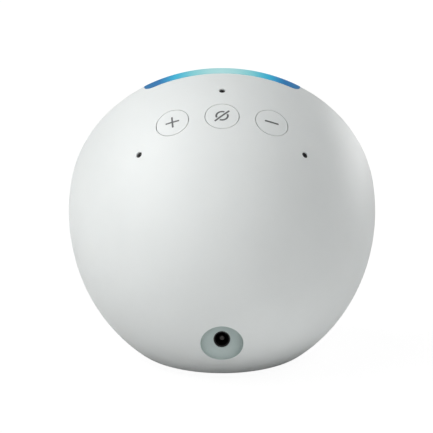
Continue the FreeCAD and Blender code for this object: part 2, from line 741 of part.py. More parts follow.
def spider():
    """The corrugated cloth disc that centres the coil."""
    inner = COIL_RADIUS + 0.35
    outer = 14.0
    depth = 15.0
    waves = 3
    step = (outer - inner) / (2 * waves)
    front = [(inner + step * index, depth - (0.7 if index % 2 else 0.0)) for index in range(2 * waves + 1)]
    back = [(radius, d + 0.35) for radius, d in reversed(front)]
    return placed(turned(front + back), FRONT)


def coil_former():
    return placed(ring(COIL_RADIUS - 0.45, COIL_RADIUS - 0.2, -21.2, -11.9), FRONT)


def coil_winding():
    return placed(ring(COIL_RADIUS - 0.2, COIL_RADIUS + 0.2, -21.2, -16.2), FRONT)


def driver_gasket():
    """A foam ring on the flange that meets the grille frame."""
    front = GRILLE_FRONT + CLOTH + FRAME_THICKNESS
    return placed(ring(SURROUND_OUTER + 0.4, 23.2, -BAFFLE[0] + DRIVER_FLANGE, -front), FRONT)


def driver_terminals():
    board = box((-5, 5), (-18.6, -12), (-LUG_DEPTH - 0.8, -LUG_DEPTH)).cut(cylinder(15.6, -FAR, 0))
    lugs = [box((x - 1, x + 1), (-20.2, -17.0), (-LUG_DEPTH, -LUG_DEPTH + 0.4)) for x in (-LUG_X, LUG_X)]
    return placed(board.fuse(lugs).removeSplitter(), FRONT)


def lead_grommet():
    low = -CUP_BACK - 0.8
    high = -CUP_BACK + CUP_WALL + 0.8
    grommet = cylinder(1.85, low, high, 0, GROMMET_Y)
    lips = [cylinder(2.8, low, -CUP_BACK, 0, GROMMET_Y), cylinder(2.8, high - 0.8, high, 0, GROMMET_Y)]
    holes = [cylinder(WIRE_RADIUS + 0.02, -FAR, 0, x, GROMMET_Y) for x in (-WIRE_PITCH / 2, WIRE_PITCH / 2)]
    return placed(grommet.fuse(lips).cut(holes).removeSplitter(), FRONT)


def speaker_leads():
    """Two wires from the driver's lugs, out through the grommet, to the main board's front."""
    wires = []
    for side in (-1, 1):
        across = side * WIRE_PITCH / 2
        lug = FRONT.multVec(Vector(side * LUG_X, -19.6, -LUG_DEPTH))
        inner_turn = FRONT.multVec(Vector(side * LUG_X, -19.6, -20.0))
        before_wall = FRONT.multVec(Vector(across, GROMMET_Y, -27.0))
        outside = FRONT.multVec(Vector(across, GROMMET_Y, -CUP_BACK - 3.4))
        plug = Vector(side * WIRE_PITCH / 2 + WIRE_SOCKET[0], MAIN_BOARD_Y[0] - 1.2, WIRE_SOCKET[1])
        before_plug = plug - Vector(0, 4, 0)
        points = [lug, inner_turn, before_wall, outside, before_plug, plug]
        wires.append(round_wire(points, WIRE_RADIUS, WIRE_PITCH))
    return Part.makeCompound(wires)


# ---------------------------------------------------------------- main board


def main_board():
    front, back = MAIN_BOARD_Y
    points = [Vector(x, front, z) for x, z in MAIN_OUTLINE]
    board = Part.Face(Part.makePolygon(points + points[:1])).extrude(Vector(0, back - front, 0))
    starts = [Vector(x, front - 1, z) for x, z in MAIN_BOSSES]
    return board.cut([Part.makeCylinder(SCREW_HOLE_RADIUS, 4, start, Vector(0, 1, 0)) for start in starts])


def on_front_face(x, z):
    """A frame on the main board's front face, with its z axis away from the board."""
    return Placement(Vector(x, MAIN_BOARD_Y[0], z), Rotation(Vector(1, 0, 0), 90))


def main_board_screws():
    one = screw(6.0)
    return Part.makeCompound([placed(one, on_front_face(x, z)) for x, z in MAIN_BOSSES])


def rear_part(x_range, z_range, height, lift=0.0):
    """A block on the main board's rear face."""
    back = MAIN_BOARD_Y[1] + lift
    return box(x_range, (back, back + height), z_range)


def front_part(x_range, z_range, height):
    """A block on the main board's front face."""
    return box(x_range, (MAIN_BOARD_Y[0] - height, MAIN_BOARD_Y[0]), z_range)


def processor():
    return rear_part((-16, -4), (24, 36), 1.2)


def thermal_pad():
    return rear_part((-15, -5), (25, 35), 0.8, 1.2)


def heat_spreader():
    sheet = rear_part((-19, -1), (21, 39), 1.2, 2.0)
    fins = [rear_part((x, x + 1.0), (21, 39), 3.0, 3.2) for x in (-19, -15.6, -12.2, -8.8, -5.4, -2)]
    return sheet.fuse(fins).removeSplitter()


def memory_chip():
    return rear_part((2, 11), (30, 38), 1.0)


def radio_shield():
    outside = rear_part((3, 17), (21, 28.5), 2.0)
    inside = rear_part((3.3, 16.7), (21.3, 28.2), 1.7, -0.1)
    vents = [rear_part((x, x + 0.8), (23, 26.5), 3, 1.0) for x in (6, 8, 10, 12, 14)]
    return outside.cut([inside] + vents)


def capacitors():
    can = cylinder(2.5, 0, 5.5)
    can = can.makeFillet(0.5, level_edges(can, 5.5))
    return Part.makeCompound([placed(can, on_front_face(x, z)) for x, z in CAPACITORS])


def inductors():
    return Part.makeCompound([front_part((x, x + 4.2), (31, 35.2), 2.4) for x in (-12, -6)])


def antenna():
    """A stamped aerial that stands along the main board's top edge."""
    foot_pad = rear_part((4, 8), (38.6, 41), 0.3)
    blade = rear_part((4, 20), (40.7, 41), 3.4)
    return foot_pad.fuse(blade).removeSplitter()


def board_connectors():
    """The flat cable's socket on the rear face, and the speaker wires' socket on the front face."""
    slot = rear_part((-21, -12.5), (39.6, 42), CABLE_THICKNESS, CABLE_LIFT)
    flat = rear_part((-22, -11.5), (38.9, 41.2), 1.4).cut(slot)
    x, z = WIRE_SOCKET
    face = MAIN_BOARD_Y[0]
    wire_socket = front_part((x - 2.7, x + 2.7), (z - 2, z + 2), 3.2)
    recess = box((x - 1.8, x + 1.8), (face - 4, face - 1.2), (z - 1.2, z + 1.2))
    return Part.makeCompound([flat, wire_socket.cut(recess)])


# ---------------------------------------------------------------- power socket


def socket_body():
    base = box((-4.5, 4.5), (-4.5, 4.5), (MAIN_BOARD_Y[1] - POCKET_FLOOR_Y, -2.0))
    along = [e for e in base.Edges if e.BoundBox.ZLength > 5]
    base = base.makeFillet(0.8, along)
    nose = cylinder(SOCKET_HOLE_RADIUS - 0.06, -3, -0.25)
    bore = cylinder(SOCKET_BORE_RADIUS, -11, 1)
    slot = box((-0.9, 0.9), (-2.9, 0), (-10, -3.0))
    return placed(base.fuse(nose).cut([bore, slot]).removeSplitter(), SOCKET)


def socket_pin():
    pin = cylinder(SOCKET_PIN_RADIUS, -11, -SOCKET_PIN_DEPTH)
    return placed(pin.makeFillet(SOCKET_PIN_RADIUS / 2, level_edges(pin, -SOCKET_PIN_DEPTH)), SOCKET)


def socket_spring():
    """The sprung contact that presses on the plug's sleeve."""
    path = ((-2.68, -9.8), (-2.5, -7.0), (-2.2, -5.2), (-2.6, -3.4))
    points = [Vector(-0.7, y, z) for y, z in path]
    outer = [Vector(-0.7, y - 0.22, z) for y, z in reversed(path)]
    face = Part.Face(Part.makePolygon(points + outer + points[:1]))
    return placed(face.extrude(Vector(1.4, 0, 0)), SOCKET)


# ---------------------------------------------------------------- buttons and microphones


def button_cap(name):
    """A cap that follows the dome, with a flange under the wall and a stem down to its switch."""
    place = button_place(name)
    low, high = place.z - 9, place.z + 5
    shank = placed(button_outline(name, 0.0, low, high), TOP)
    wide = placed(cylinder(FLANGE_RADIUS, low, high, place.x, place.y), TOP)
    bottom = -WALL - FLANGE_GAP - FLANGE_THICKNESS
    cap = dome(0.0).common(shank)
    flange = dome(-WALL - FLANGE_GAP).common(wide)
    stem = placed(cylinder(STEM_RADIUS, PLUNGER_TOP, place.z - WALL, place.x, place.y), TOP)
    return cap.fuse(flange).cut(dome(bottom)).fuse(stem).removeSplitter()


def tact_switches():
    bodies = []
    half = SWITCH_SIZE / 2
    for name in BUTTONS:
        place = button_place(name)
        sides = [(middle - half, middle + half) for middle in (place.x, place.y)]
        body = box(*sides, (BOARD_TOP, BOARD_TOP + SWITCH_HEIGHT))
        body = body.makeFillet(0.4, [e for e in body.Edges if e.BoundBox.ZLength > 1])
        well = cylinder(PLUNGER_RADIUS + RUNNING_GAP, BOARD_TOP + 1.0, 0, place.x, place.y)
        bodies.append(body.cut(well))
    return placed(Part.makeCompound(bodies), TOP)


def plunger(name):
    place = button_place(name)
    return placed(cylinder(PLUNGER_RADIUS, BOARD_TOP + 1.6, PLUNGER_TOP, place.x, place.y), TOP)


def button_guide():
    """A plate whose three holes keep the stems straight, standing on the board by four feet."""
    right_half = ((14, -9.3), (17.8, -6.8), (17.8, 6.8), (14, 9.6))
    outline = right_half + tuple((-x, y) for x, y in reversed(right_half))
    sheet = plate(outline, GUIDE_BOTTOM, GUIDE_TOP)
    feet = [cylinder(1.2, BOARD_TOP, GUIDE_BOTTOM + 0.1, x, y) for x, y in GUIDE_FEET]
    holes = [cylinder(2.2, -FAR, FAR, x, y) for x, y in TOP_BOSSES]
    for name in BUTTONS:
        place = button_place(name)
        holes.append(cylinder(STEM_RADIUS + RUNNING_GAP, -FAR, FAR, place.x, place.y))
    return placed(sheet.fuse(feet).cut(holes).removeSplitter(), TOP)


def button_board():
    right_half = ((13, -13.4), (20, -4), (26, 5), (26, 10.3))
    outline = right_half + tuple((-x, y) for x, y in reversed(right_half))
    board = plate(outline, BOARD_TOP - BOARD_THICKNESS, BOARD_TOP)
    holes = [cylinder(SCREW_HOLE_RADIUS, -FAR, FAR, x, y) for x, y in TOP_BOSSES]
    return placed(board.cut(holes), TOP)


def button_board_screws():
    one = placed(screw(5.0), Placement(Vector(), Rotation(Vector(1, 0, 0), 180)))
    spots = [Placement(Vector(x, y, BOARD_TOP - BOARD_THICKNESS), Rotation()) for x, y in TOP_BOSSES]
    return placed(Part.makeCompound([placed(one, spot) for spot in spots]), TOP)


def microphones():
    cans = []
    for angle, depth in MICROPHONES:
        place = microphone_place(angle, depth)
        sides = [(middle - MIC_SIZE / 2, middle + MIC_SIZE / 2) for middle in (place.x, place.y)]
        can = box(*sides, (BOARD_TOP, BOARD_TOP + MIC_HEIGHT))
        cans.append(can.cut(cylinder(0.3, BOARD_TOP + MIC_HEIGHT / 2, 0, place.x, place.y)))
    return placed(Part.makeCompound(cans), TOP)


def microphone_seals():
    """Rubber tubes from the microphones up to the wall, each with a nose in its hole."""
    room = inner_dome(-0.05)
    start = BOARD_TOP + MIC_HEIGHT
    seals = []
    for angle, depth in MICROPHONES:
        place = microphone_place(angle, depth)
        point, normal = surface_point(angle, depth)
        root = point - normal * (WALL + 1)
        length = WALL + 1 - MIC_NOSE_DEPTH
        tube = placed(cylinder(MIC_SEAL_RADIUS, start, 3, place.x, place.y), TOP).common(room)
        nose = placed(Part.makeCylinder(MIC_HOLE_RADIUS - 0.05, length, root, normal), FRONT)
        bores = [
            placed(cylinder(MIC_BORE_RADIUS, start - 1, place.z - 0.4, place.x, place.y), TOP),
            placed(Part.makeCylinder(MIC_NOSE_BORE_RADIUS, length + 1, root, normal), FRONT),
        ]
        seals.append(tube.fuse(nose).cut(bores))
    return Part.makeCompound(seals)


def top_connectors():
    """Flat-cable sockets on the button board: one below at its rear edge, one above at its front edge."""
    underside = BOARD_TOP - BOARD_THICKNESS
    below = box((-22, -11.5), (6.2, 9.6), (underside - CONNECTOR_HEIGHT, underside))
    slot = (TOP_CABLE_Z - CABLE_THICKNESS / 2, TOP_CABLE_Z + CABLE_THICKNESS / 2)
    below = below.cut(box((-21, -12.5), (8, 12), slot))
    ahead = box((4, 9.5), (-12.9, -10.6), (BOARD_TOP, BOARD_TOP + CONNECTOR_HEIGHT))
    return placed(Part.makeCompound([below, ahead]), TOP)


# ---------------------------------------------------------------- flat cables


def row_yz(frame, point):
    moved = frame.multVec(point)
    return moved.y, moved.z


def button_cable():
    start = row_yz(TOP, Vector(0, 8.3, TOP_CABLE_Z))
    leave = row_yz(TOP, Vector(0, 12.6, TOP_CABLE_Z))
    slot_y = MAIN_BOARD_Y[1] + CABLE_LIFT + CABLE_THICKNESS / 2
    path = (start, leave, (19.6, 47.5), (slot_y, 44.0), (slot_y, 39.8))
    return strip(path, CABLE_BEND, CABLE_THICKNESS, (-20.8, -12.7))


def led_cable():
    depth = LED_BOARD[1] + CABLE_THICKNESS / 2
    start = row_yz(FRONT, Vector(0, 42.6, -depth))
    turn = row_yz(FRONT, Vector(0, 40.6, -depth))
    end = row_yz(TOP, Vector(0, -11.7, BOARD_TOP + CONNECTOR_HEIGHT + CABLE_THICKNESS / 2))
    return strip((start, turn, end), CABLE_BEND / 2, CABLE_THICKNESS, (4.6, 8.9))


# ---------------------------------------------------------------- files


def nodes():
    made = {
        "rear_shell": rear_shell(),
        "rubber_foot": foot(),
        "foot_tape": foot_tape(),
        "grille_cloth": grille_cloth(),
        "grille_frame": grille_frame(),
        "light_bar": light_bar(),
        "light_reflector": light_reflector(),
        "led_board": led_board(),
        "leds": leds(),
        "baffle": baffle(),
        "baffle_screws": baffle_screws(),
        "speaker_cup": speaker_cup(),
        "cup_seal": cup_seal(),
        "cup_screws": cup_screws(),
        "driver_basket": driver_basket(),
        "driver_screws": driver_screws(),
        "driver_gasket": driver_gasket(),
        "driver_terminals": driver_terminals(),
        "driver_top_plate": top_plate(),
        "driver_magnet": magnet(),
        "driver_yoke": yoke(),
        "driver_cone": cone(),
        "driver_dust_cap": dust_cap(),
        "driver_surround": surround(),
        "driver_spider": spider(),
        "voice_coil_former": coil_former(),
        "voice_coil_winding": coil_winding(),
        "lead_grommet": lead_grommet(),
        "speaker_leads": speaker_leads(),
        "main_board": main_board(),
        "main_board_screws": main_board_screws(),
        "processor": processor(),
        "thermal_pad": thermal_pad(),
        "heat_spreader": heat_spreader(),
        "memory_chip": memory_chip(),
        "radio_shield": radio_shield(),
        "capacitors": capacitors(),
        "inductors": inductors(),
        "antenna": antenna(),
        "board_connectors": board_connectors(),
        "power_socket": socket_body(),
        "power_socket_pin": socket_pin(),
        "power_socket_spring": socket_spring(),
        "tact_switches": tact_switches(),
        "button_guide": button_guide(),
        "button_board": button_board(),
        "button_board_screws": button_board_screws(),
        "microphones": microphones(),
        "microphone_seals": microphone_seals(),
        "top_connectors": top_connectors(),
        "button_cable": button_cable(),
        "led_cable": led_cable(),
    }
    for name in BUTTONS:
        made[f"{name}_button"] = button_cap(name)
        made[f"{name}_plunger"] = plunger(name)
    return made


def main():
    os.makedirs("parts", exist_ok=True)
    for name, shape in nodes().items():
        if not shape.isValid() or not shape.Solids:
            print("not a valid solid:", name)
        shape.exportStep(f"parts/{name}.step")


main()
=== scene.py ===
"""The looks of a half-dome smart speaker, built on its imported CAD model. Metres, in the CAD's frame.

The CAD supplies every hard part. Made here: the knitted cover of the grille, the signs printed on the three
buttons, every material, the floor, the lights and the camera.
"""

import json
import math

import bpy
import bmesh
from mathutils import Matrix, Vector

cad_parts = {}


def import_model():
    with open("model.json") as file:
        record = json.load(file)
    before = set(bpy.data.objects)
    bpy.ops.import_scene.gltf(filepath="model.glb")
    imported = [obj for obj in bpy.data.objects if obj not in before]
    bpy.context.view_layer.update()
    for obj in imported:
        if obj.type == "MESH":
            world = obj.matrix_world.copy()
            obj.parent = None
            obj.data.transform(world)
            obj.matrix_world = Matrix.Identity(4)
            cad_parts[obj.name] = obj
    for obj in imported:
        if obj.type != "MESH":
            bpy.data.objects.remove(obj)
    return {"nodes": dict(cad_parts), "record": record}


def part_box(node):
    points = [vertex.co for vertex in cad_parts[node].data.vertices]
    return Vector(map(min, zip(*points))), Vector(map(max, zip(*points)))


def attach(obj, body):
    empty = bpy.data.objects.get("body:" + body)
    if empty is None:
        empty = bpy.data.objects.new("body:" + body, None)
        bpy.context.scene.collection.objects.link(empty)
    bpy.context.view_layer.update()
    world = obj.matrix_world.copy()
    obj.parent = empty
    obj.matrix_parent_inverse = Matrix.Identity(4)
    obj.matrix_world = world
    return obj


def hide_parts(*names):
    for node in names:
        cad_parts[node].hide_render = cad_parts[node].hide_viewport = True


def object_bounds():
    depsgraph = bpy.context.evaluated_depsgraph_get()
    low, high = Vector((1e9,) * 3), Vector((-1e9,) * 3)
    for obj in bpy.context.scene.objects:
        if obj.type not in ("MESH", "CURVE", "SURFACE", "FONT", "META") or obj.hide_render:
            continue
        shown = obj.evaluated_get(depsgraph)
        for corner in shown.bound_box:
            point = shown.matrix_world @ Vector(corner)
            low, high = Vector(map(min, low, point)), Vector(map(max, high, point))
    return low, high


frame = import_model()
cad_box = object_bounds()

MM = 0.001

# The dome, as the CAD has it: an ellipse turned about the mouth's axis
TILT = math.radians(21.0)
MAX_RADIUS = 49.5 * MM
RIM_DEPTH = 3.0 * MM
DOME_DEPTH = 64.5 * MM
MAGNET_DEPTH = 23.2 * MM  # of the driver magnet's middle behind the mouth

# The recess round the power socket: its wall's foot and radius there, and how fast the wall opens out
POCKET_FOOT = 31.7 * MM
POCKET_RADIUS = 6.21 * MM
POCKET_FLARE = 0.5 / 12
POCKET_FLOOR_MARGIN = 1 * MM  # how far below the socket's outer face the painted shade still reaches
# Painted shade in the socket's recess: the dome's colour is multiplied by this there, a little cool
POCKET_PAINTED_SHADE = (0.68, 0.755, 0.745)

# The cloth over the grille
CLOTH_RADIUS = 45.96 * MM
CLOTH_FRONT = 0.5 * MM
CLOTH_ROUND = 1.6 * MM
CLOTH_SKIRT = 4.95 * MM
WALE = 1.05 * MM
COURSE = 0.80 * MM
CLOTH_SPOKES = 240
CLOTH_CLEARANCE = 0.02 * MM  # above the lowest point of the CAD cloth

# The floor has two shaders. The camera sees a plain pale one. Every other ray meets one that isn't plain.
# What share of its light that one throws back, as (distance from the origin, share). It is lower near the
# base: painted shade round the speaker, which darkens the light thrown up onto its underside
FLOOR_BOUNCE = ((25 * MM, 0.38), (45 * MM, 0.62), (110 * MM, 0.74))

# Light that it gives out round the base, as (distance from the origin, strength). No piece or lamp makes it
FLOOR_GLOW = ((30 * MM, 0.0), (42 * MM, 0.32), (60 * MM, 0.24), (90 * MM, 0.0))
GLOW_FADE = 25 * MM  # the glow is full past this on the -X side, and gone past it on the +X side
FLOOR_HALF = 4.0
FLOOR_SQUARES = 24
FLOOR_DROP = 0.1 * MM  # below the foot

# The signs on the buttons
MIDDLE_BUTTON_DEPTH = 25.8 * MM
INK_LIFT = 0.03 * MM
STROKE = 0.55 * MM
SIGN_HALF = 2.15 * MM
CIRCLE_RADIUS = 1.72 * MM
MINUS_BOLDER = 1.1
SLASH_SLOPE = 0.98
CIRCLE_GAP = 1.15  # between the circle and its slash, in strokes


# ---------------------------------------------------------------- places


def middle(node):
    low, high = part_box(node)
    return (low + high) / 2


def mouth_frame():
    """The middle of the mouth, and its axes: across, up along the mouth, and out of it."""
    across = Vector((1, 0, 0))
    up = Vector((0, math.sin(TILT), math.cos(TILT)))
    out = Vector((0, -math.cos(TILT), math.sin(TILT)))
    magnet = middle("driver_magnet")
    return magnet + out * MAGNET_DEPTH, across, up, out


MOUTH, ACROSS, UP, OUT = mouth_frame()


def from_mouth(x, y, depth):
    return MOUTH + ACROSS * x + UP * y - OUT * depth


def to_mouth(point):
    """(x, y, depth) of a point seen from the mouth."""
    away = point - MOUTH
    return away.dot(ACROSS), away.dot(UP), -away.dot(OUT)


def on_dome(angle, depth):
    """A point on the dome, and the directions round it, back along it and out of it."""
    share = (depth - RIM_DEPTH) / DOME_DEPTH
    radius = MAX_RADIUS * math.sqrt(1 - share * share)
    radial = ACROSS * math.sin(angle) + UP * math.cos(angle)
    point = MOUTH + radial * radius - OUT * depth
    out = (radial * (radius / MAX_RADIUS**2) - OUT * ((depth - RIM_DEPTH) / DOME_DEPTH**2)).normalized()
    round_it = (ACROSS * math.cos(angle) - UP * math.sin(angle)).normalized()
    back = round_it.cross(out)
    if back.dot(OUT) > 0:
        back.negate()
    return point, round_it, back, out


# ---------------------------------------------------------------- meshes


def new_piece(name, mesh_maker, body, material):
    """Makes a smooth object from a function that fills a bmesh, gives it a material and sets it riding."""
    mesh = bpy.data.meshes.new(name)
    bm = bmesh.new()
    mesh_maker(bm)
    bmesh.ops.recalc_face_normals(bm, faces=bm.faces)
    bm.to_mesh(mesh)
    bm.free()
    for face in mesh.polygons:
        face.use_smooth = True
    piece = bpy.data.objects.new(name, mesh)
    bpy.context.scene.collection.objects.link(piece)
    mesh.materials.append(material)
    if body:
        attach(piece, body)
    return piece


# ---------------------------------------------------------------- materials


class Nodes:
    """A short way to write a node tree."""

    def __init__(self, name):
        self.material = bpy.data.materials.new(name)
        self.material.use_nodes = True
        self.tree = self.material.node_tree
        self.shader = self.tree.nodes["Principled BSDF"]

    def node(self, kind, **settings):
        made = self.tree.nodes.new(kind)
        for key, value in settings.items():
            setattr(made, key, value)
        return made

    def link(self, source, target):
        self.tree.links.new(source, target)

    def math(self, operation, first, second=None, third=None):
        made = self.node("ShaderNodeMath", operation=operation)
        for socket, value in zip(made.inputs, (first, second, third)):
            if value is None:
                continue
            if isinstance(value, (int, float)):
                socket.default_value = value
            else:
                self.link(value, socket)
        return made.outputs[0]

    def place(self):
        """Object coordinates, in metres."""
        return self.node("ShaderNodeTexCoord").outputs["Object"]

    def noise(self, size, detail=2.0, roughness=0.5, vector=None):
        """Noise whose blobs are about size across, from 0 to 1."""
        made = self.node("ShaderNodeTexNoise")
        made.inputs["Scale"].default_value = 1 / size
        made.inputs["Detail"].default_value = detail
        made.inputs["Roughness"].default_value = roughness
        self.link(vector or self.place(), made.inputs["Vector"])
        return made.outputs["Fac"]

    def ramp(self, factor, stops):
        made = self.node("ShaderNodeValToRGB")
        ramp = made.color_ramp
        ramp.elements[0].position, ramp.elements[0].color = stops[0][0], (*stops[0][1], 1)
        ramp.elements[1].position, ramp.elements[1].color = stops[-1][0], (*stops[-1][1], 1)
        for position, colour in stops[1:-1]:
            ramp.elements.new(position).color = (*colour, 1)
        self.link(factor, made.inputs["Fac"])
        return made.outputs["Color"]

    def bump(self, height, distance, strength=1.0, under=None):
        """A bump of that many metres where height runs from 0 to 1."""
        made = self.node("ShaderNodeBump")
        made.inputs["Distance"].default_value = distance
        made.inputs["Strength"].default_value = strength
        self.link(height, made.inputs["Height"])
        if under:
            self.link(under, made.inputs["Normal"])
        return made.outputs["Normal"]

    def darken(self, colour, where, tint):
        """The colour multiplied by a tint where a factor is 1."""
        made = self.node("ShaderNodeMix", data_type="RGBA", blend_type="MULTIPLY")
        made.inputs["B"].default_value = (*tint, 1)
        self.link(where, made.inputs["Factor"])
        self.link(colour, made.inputs["A"])
        return made.outputs["Result"]

    def set(self, **values):
        names = {"colour": "Base Color", "roughness": "Roughness", "metallic": "Metallic", "normal": "Normal"}
        for key, value in values.items():
            socket = self.shader.inputs[names.get(key, key.replace("_", " ").title())]
            if hasattr(value, "links"):
                self.link(value, socket)
            elif isinstance(value, tuple):
                socket.default_value = (*value, 1)
            else:
                socket.default_value = value


def tints(colour, spread):
    """A darker and a lighter form of a colour."""
    return tuple(c * (1 - spread) for c in colour), tuple(min(1, c * (1 + spread)) for c in colour)


def moulded(name, colour, roughness=0.5, grain=0.25 * MM, depth=0.012 * MM, spread=0.02):
    """Plastic or rubber from a spark-eroded mould: a fine grain, and a faint unevenness in tone and gloss."""
    n = Nodes(name)
    cloud = n.noise(14 * MM, 3)
    dark, light = tints(colour, spread)
    fine = n.noise(grain, 2, 0.6)
    gloss = n.ramp(n.noise(3 * MM, 4, 0.6), ((0.3, (roughness - 0.04,) * 3), (0.7, (roughness + 0.04,) * 3)))
    n.set(colour=n.ramp(cloud, ((0.35, dark), (0.65, light))), roughness=gloss, normal=n.bump(fine, depth))
    n.shader.inputs["IOR"].default_value = 1.5
    return n.material


def turned_metal(name, colour, roughness=0.32, scratch=0.06 * MM):
    """Bare metal with fine scratches along one way and a mottled plating."""
    n = Nodes(name)
    stretch = n.node("ShaderNodeMapping")
    stretch.inputs["Scale"].default_value = (1, 12, 12)
    n.link(n.place(), stretch.inputs["Vector"])
    lines = n.noise(scratch * 12, 3, 0.7, stretch.outputs["Vector"])
    dark, light = tints(colour, 0.10)
    mottle = n.noise(1.2 * MM, 3)
    gloss = n.ramp(lines, ((0.3, (roughness - 0.08,) * 3), (0.7, (roughness + 0.10,) * 3)))
    n.set(colour=n.ramp(mottle, ((0.3, dark), (0.7, light))), roughness=gloss, metallic=1.0)
    n.set(normal=n.bump(lines, 0.004 * MM))
    return n.material


def sintered(name, colour):
    """Pressed and fired powder: a dull grey with pits."""
    n = Nodes(name)
    pits = n.noise(0.5 * MM, 5, 0.7)
    dark, light = tints(colour, 0.25)
    # Darker in the pits, where the surface lies low: painted shade
    n.set(colour=n.ramp(pits, ((0.35, dark), (0.65, light))), roughness=0.62, normal=n.bump(pits, 0.03 * MM))
    n.shader.inputs["Metallic"].default_value = 0.2
    return n.material


def woven(name, colour, pitch):
    """A plain weave seen in object coordinates, for the driver's cloth and for tape."""
    n = Nodes(name)
    waves = []
    for direction in ("X", "Z"):
        wave = n.node("ShaderNodeTexWave", bands_direction=direction)
        wave.inputs["Scale"].default_value = math.pi / (10 * pitch)
        wave.inputs["Distortion"].default_value = 0.6
        n.link(n.place(), wave.inputs["Vector"])
        waves.append(wave.outputs["Fac"])
    threads = n.math("MAXIMUM", *waves)
    dark, light = tints(colour, 0.25)
    # Darker where the threads lie low between the crossings: painted shade in the weave's hollows
    shade = n.ramp(threads, ((0.1, dark), (0.9, light)))
    n.set(colour=shade, roughness=0.85, normal=n.bump(threads, 0.08 * MM))
    return n.material


def circuit_board(name):
    """Green solder mask over copper tracks, with round pads."""
    n = Nodes(name)
    cells = n.node("ShaderNodeTexVoronoi", feature="DISTANCE_TO_EDGE", distance="MANHATTAN")
    cells.inputs["Scale"].default_value = 1 / (2.2 * MM)
    n.link(n.place(), cells.inputs["Vector"])
    tracks = n.ramp(cells.outputs["Distance"], ((0.05, (1, 1, 1)), (0.08, (0, 0, 0))))
    pads = n.node("ShaderNodeTexVoronoi")
    pads.inputs["Scale"].default_value = 1 / (2.9 * MM)
    n.link(n.place(), pads.inputs["Vector"])
    dots = n.ramp(pads.outputs["Distance"], ((0.12, (1, 1, 1)), (0.14, (0, 0, 0))))
    mask = n.ramp(tracks, ((0.0, (0.006, 0.060, 0.026)), (1.0, (0.012, 0.125, 0.050))))
    mix = n.node("ShaderNodeMix", data_type="RGBA")
    mix.inputs["B"].default_value = (0.55, 0.42, 0.20, 1)
    n.link(dots, mix.inputs["Factor"])
    n.link(mask, mix.inputs["A"])
    n.set(colour=mix.outputs["Result"], roughness=0.35, normal=n.bump(tracks, 0.03 * MM))
    n.shader.inputs["Coat Weight"].default_value = 0.3
    return n.material


def pocket_shade_mask(n):
    """1 inside the socket's recess, where the dome's colour gets its painted shade, and 0 elsewhere."""
    parts = n.node("ShaderNodeSeparateXYZ")
    n.link(n.place(), parts.inputs[0])
    low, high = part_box("power_socket")
    up = n.math("SUBTRACT", parts.outputs["Z"], (low.z + high.z) / 2)
    across = n.math("MULTIPLY", parts.outputs["X"], parts.outputs["X"])
    away = n.math("SQRT", n.math("ADD", across, n.math("MULTIPLY", up, up)))
    height = n.math("SUBTRACT", parts.outputs["Y"], POCKET_FOOT)
    wall = n.math("ADD", n.math("MULTIPLY", height, POCKET_FLARE), POCKET_RADIUS)
    near = n.math("LESS_THAN", away, wall)
    above_floor = n.math("GREATER_THAN", parts.outputs["Y"], high.y - POCKET_FLOOR_MARGIN)
    return n.math("MULTIPLY", near, above_floor)


def shell_white(name):
    """The dome's plastic: white, with a fine satin grain and a slight softness at the edges, and painted
    shade inside the socket's recess.
    """
    n = Nodes(name)
    cloud = n.noise(22 * MM, 3)
    grain = n.noise(0.22 * MM, 3, 0.65)
    ripple = n.noise(2.4 * MM, 2)
    gloss = n.ramp(n.noise(1.1 * MM, 4, 0.6), ((0.3, (0.46,) * 3), (0.7, (0.52,) * 3)))
    tone = n.ramp(cloud, ((0.3, (0.775, 0.800, 0.793)), (0.7, (0.802, 0.827, 0.819))))
    # Painted shade: the colour is darkened, a little cool, inside the socket's recess
    n.set(colour=n.darken(tone, pocket_shade_mask(n), POCKET_PAINTED_SHADE))
    n.set(roughness=gloss, normal=n.bump(grain, 0.010 * MM, under=n.bump(ripple, 0.004 * MM)))
    n.shader.inputs["IOR"].default_value = 1.46
    n.shader.inputs["Subsurface Weight"].default_value = 0.06
    n.shader.inputs["Subsurface Radius"].default_value = (0.9 * MM, 0.8 * MM, 0.7 * MM)
    n.shader.inputs["Subsurface Scale"].default_value = 1.0
    return n.material


def light_guide(name):
    """The lit bar: blue at its ends, cyan further in and a pale teal in the middle, in milky plastic."""
    n = Nodes(name)
    offset = n.node("ShaderNodeSeparateXYZ")
    n.link(n.place(), offset.inputs[0])
    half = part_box("light_bar")[1].x
    across = n.math("DIVIDE", n.math("ABSOLUTE", offset.outputs["X"]), half)
    uneven = n.math("MULTIPLY", n.math("SUBTRACT", n.noise(5 * MM, 2), 0.5), 0.05)
    along = n.math("ADD", across, uneven)
    glow = (
        (0.00, (0.405, 0.700, 0.715)),
        (0.16, (0.385, 0.690, 0.700)),
        (0.36, (0.225, 0.600, 0.640)),
        (0.48, (0.100, 0.515, 0.640)),
        (0.60, (0.045, 0.435, 0.640)),
        (0.70, (0.038, 0.290, 0.560)),
        (0.80, (0.032, 0.180, 0.420)),
        (1.00, (0.042, 0.185, 0.390)),
    )
    body = (
        (0.00, (0.180, 0.315, 0.320)),
        (0.36, (0.100, 0.260, 0.285)),
        (0.58, (0.020, 0.190, 0.285)),
        (0.80, (0.012, 0.075, 0.180)),
        (1.00, (0.016, 0.075, 0.160)),
    )
    n.set(colour=n.ramp(along, body), roughness=0.45)
    n.shader.inputs["Specular IOR Level"].default_value = 0.25
    n.link(n.ramp(along, glow), n.shader.inputs["Emission Color"])
    n.shader.inputs["Emission Strength"].default_value = 0.62
    n.set(normal=n.bump(n.noise(0.3 * MM, 2), 0.004 * MM))
    return n.material


